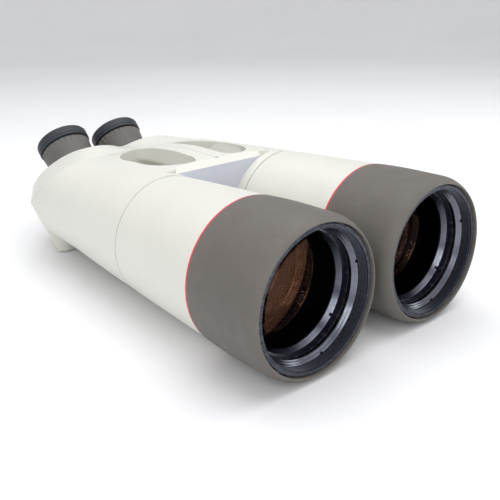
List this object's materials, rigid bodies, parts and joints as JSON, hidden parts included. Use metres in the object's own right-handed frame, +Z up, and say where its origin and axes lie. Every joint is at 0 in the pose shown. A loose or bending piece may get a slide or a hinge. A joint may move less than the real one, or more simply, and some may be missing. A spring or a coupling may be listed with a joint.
{
  "type": "astronomy binoculars",
  "caption": "Large white astronomy binoculars with grey rubber hoods, a central carry handle over a finger bowl, angled turret eyepieces and a tripod socket underneath",
  "frame": {"origin": "Centre of the tripod socket's mouth, in the plane the instrument rests on.", "axes": "+X is the observer's left, -Y is the way the objectives look, +Z is up; the YZ plane is the plane of symmetry."},
  "size_m": [0.2382, 0.4282, 0.1142],
  "materials": {
    "hood_rubber": "warm grey rubber, satin",
    "red_trim": "red enamel",
    "white_paint": "ivory white paint, fine texture",
    "panel_paint": "pale blue-grey paint",
    "turret_paint": "ivory white paint, smooth",
    "seal_rubber": "black rubber",
    "dark_anodised": "dark blue-grey anodised",
    "black_anodised": "black anodised, matt",
    "bright_ring": "turned, bright",
    "objective_glass": "coated glass",
    "prism_glass": "clear glass",
    "eyepiece_glass": "coated glass",
    "baffle_black": "matt black",
    "gear_brass": "machined brass",
    "screw_steel": "machined steel",
    "grip_grey": "warm grey rubber, fluted",
    "cam_plastic": "black, matt",
    "eyecup_rubber": "dark blue-grey rubber, matt",
    "foot_rubber": "black rubber"
  },
  "bodies": {
    "housing": {"left_hood": "hood_rubber", "right_hood": "hood_rubber", "left_trim_ring": "red_trim", "right_trim_ring": "red_trim", "left_front_tube": "white_paint", "right_front_tube": "white_paint", "left_tube_seal": "seal_rubber", "right_tube_seal": "seal_rubber", "left_filter_ring": "dark_anodised", "right_filter_ring": "dark_anodised", "left_stop_ring": "bright_ring", "right_stop_ring": "bright_ring", "left_lens_retainer": "bright_ring", "right_lens_retainer": "bright_ring", "left_lens_cell": "black_anodised", "right_lens_cell": "black_anodised", "left_front_lens": "objective_glass", "right_front_lens": "objective_glass", "left_rear_lens": "objective_glass", "right_rear_lens": "objective_glass", "left_baffle": "baffle_black", "right_baffle": "baffle_black", "left_shift_prism": "prism_glass", "right_shift_prism": "prism_glass", "left_roof_prism": "prism_glass", "right_roof_prism": "prism_glass", "left_body_shell": "white_paint", "right_body_shell": "white_paint", "front_bridge": "panel_paint", "bridge_screw": "screw_steel", "shell_screws": "screw_steel", "rear_cover": "white_paint", "cover_gasket": "seal_rubber", "cover_screws": "screw_steel", "prism_plate": "black_anodised", "tripod_plate": "black_anodised", "tripod_bush": "screw_steel", "plate_screws": "screw_steel", "foot_pads": "foot_rubber"},
    "left_turret_body": {"left_turret": "turret_paint", "left_turret_gear": "gear_brass", "left_turret_prism": "prism_glass", "left_eyepiece_base": "black_anodised"},
    "left_ocular_body": {"left_ocular_tube": "black_anodised", "left_field_lens": "eyepiece_glass", "left_eye_lens": "eyepiece_glass"},
    "left_focus_ring_body": {"left_focus_ring": "grip_grey"},
    "left_eyecup_cam_body": {"left_eyecup_cam": "cam_plastic"},
    "left_eyecup_body": {"left_eyecup": "eyecup_rubber"},
    "right_turret_body": {"right_turret": "turret_paint", "right_turret_gear": "gear_brass", "right_turret_prism": "prism_glass", "right_eyepiece_base": "black_anodised"},
    "right_ocular_body": {"right_ocular_tube": "black_anodised", "right_field_lens": "eyepiece_glass", "right_eye_lens": "eyepiece_glass"},
    "right_focus_ring_body": {"right_focus_ring": "grip_grey"},
    "right_eyecup_cam_body": {"right_eyecup_cam": "cam_plastic"},
    "right_eyecup_body": {"right_eyecup": "eyecup_rubber"}
  },
  "joints": [
    {"name": "left_turret_turn", "type": "hinge", "parent": "housing", "child": "left_turret_body", "pos_m": [0.038, 0.14863, 0.07137], "axis": [0, 0.7071, 0.7071], "range_deg": [-22.5, 12]},
    {"name": "right_turret_turn", "type": "hinge", "parent": "housing", "child": "right_turret_body", "pos_m": [-0.038, 0.14863, 0.07137], "axis": [0, 0.7071, 0.7071], "range_deg": [-12, 22.5]},
    {"name": "left_focus_slide", "type": "slide", "parent": "left_turret_body", "child": "left_ocular_body", "axis": [0, 0.7071, 0.7071], "range_m": [-0.00301, 0.00701]},
    {"name": "left_focus_turn", "type": "hinge", "parent": "left_ocular_body", "child": "left_focus_ring_body", "pos_m": [0.0314, 0.15894, 0.06106], "axis": [0, 0.7071, 0.7071], "range_deg": [-108, 252]},
    {"name": "left_eyecup_turn", "type": "hinge", "parent": "left_ocular_body", "child": "left_eyecup_cam_body", "pos_m": [0.0314, 0.15894, 0.06106], "axis": [0, 0.7071, 0.7071], "range_deg": [0, 120]},
    {"name": "left_eyecup_slide", "type": "slide", "parent": "left_eyecup_cam_body", "child": "left_eyecup_body", "axis": [0, 0.7071, 0.7071], "range_m": [0, 0.01001]},
    {"name": "right_focus_slide", "type": "slide", "parent": "right_turret_body", "child": "right_ocular_body", "axis": [0, 0.7071, 0.7071], "range_m": [-0.00301, 0.00701]},
    {"name": "right_focus_turn", "type": "hinge", "parent": "right_ocular_body", "child": "right_focus_ring_body", "pos_m": [-0.0314, 0.15894, 0.06106], "axis": [0, 0.7071, 0.7071], "range_deg": [-108, 252]},
    {"name": "right_eyecup_turn", "type": "hinge", "parent": "right_ocular_body", "child": "right_eyecup_cam_body", "pos_m": [-0.0314, 0.15894, 0.06106], "axis": [0, 0.7071, 0.7071], "range_deg": [0, 120]},
    {"name": "right_eyecup_slide", "type": "slide", "parent": "right_eyecup_cam_body", "child": "right_eyecup_body", "axis": [0, 0.7071, 0.7071], "range_m": [0, 0.01001]}
  ],
  "couplings": [
    {"joint": "left_focus_slide", "follows": "left_focus_turn", "m_per_rad": 0.0015915},
    {"joint": "left_eyecup_slide", "follows": "left_eyecup_turn", "m_per_rad": 0.0047746},
    {"joint": "right_focus_slide", "follows": "right_focus_turn", "m_per_rad": 0.0015915},
    {"joint": "right_eyecup_slide", "follows": "right_eyecup_turn", "m_per_rad": 0.0047746},
    {"joint": "right_turret_turn", "follows": "left_turret_turn", "ratio": -1}
  ]
}
